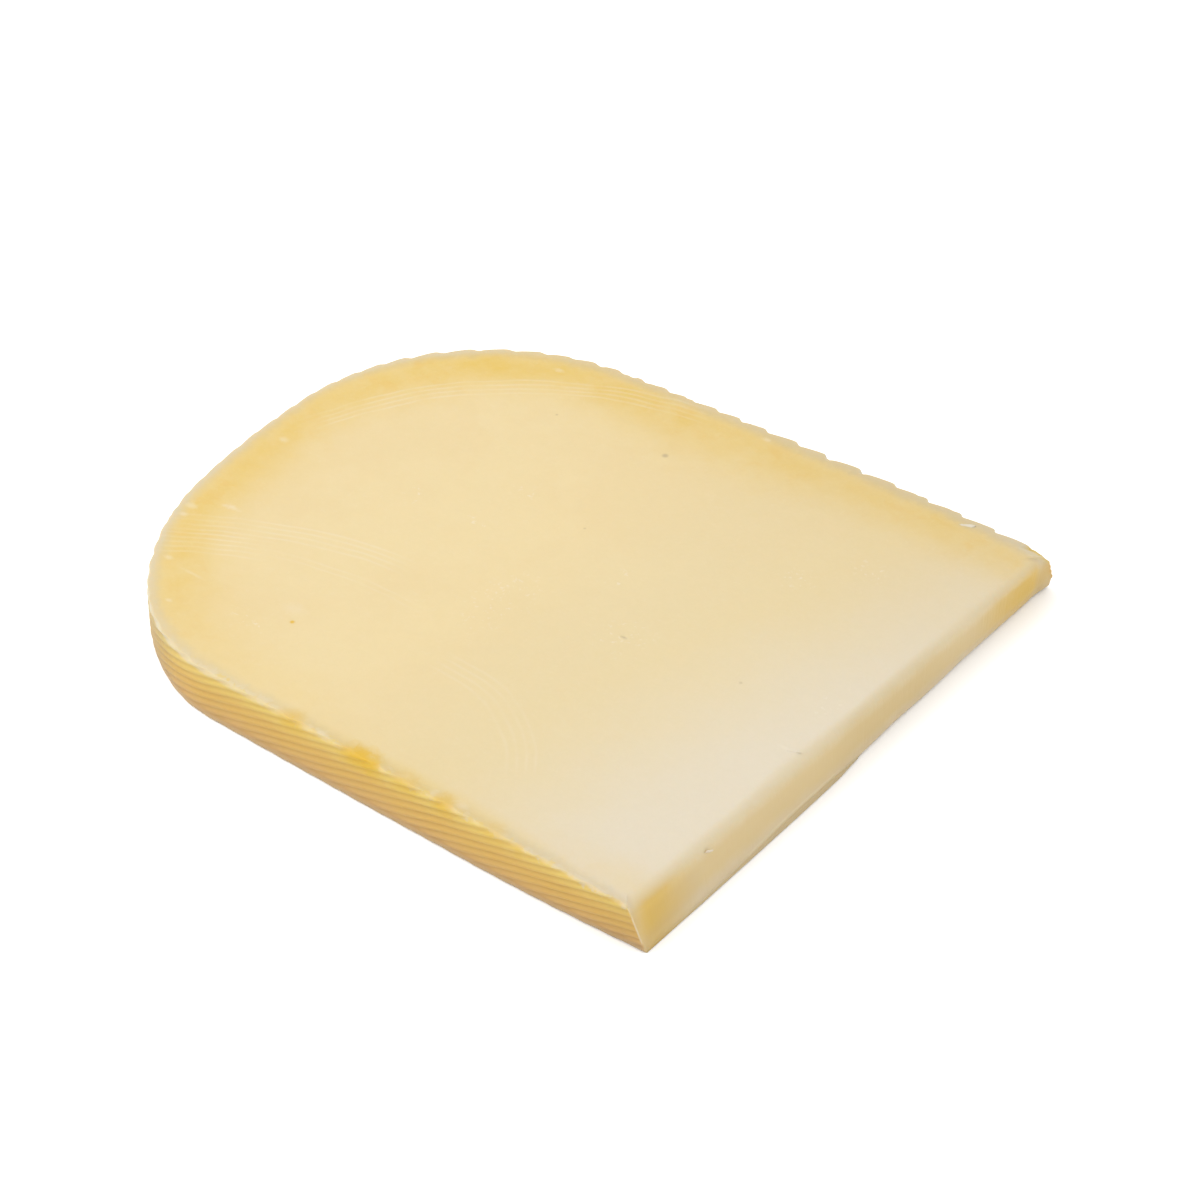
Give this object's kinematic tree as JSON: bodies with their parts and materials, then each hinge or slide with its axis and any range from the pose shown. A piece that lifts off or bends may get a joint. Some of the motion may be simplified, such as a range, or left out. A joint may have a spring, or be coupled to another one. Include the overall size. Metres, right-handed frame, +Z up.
{
  "type": "cheese wedge",
  "caption": "Flat slab of semi-hard cheese cut from a wheel, with a rounded grooved rind end and a straight knife-cut end, lying on its cut face.",
  "frame": {"origin": "centre of the slab's bounding box, on the surface that it lies on", "axes": "+X points at the straight cut end, +Y at the back rind side, +Z up through the slab's thickness"},
  "size_m": [0.1286, 0.1154, 0.0099],
  "materials": {
    "paste": "ivory yellow cheese, waxy and nearly matt, with a golden grooved rind"
  },
  "bodies": {
    "root": {"cheese": "paste"}
  },
  "joints": []
}
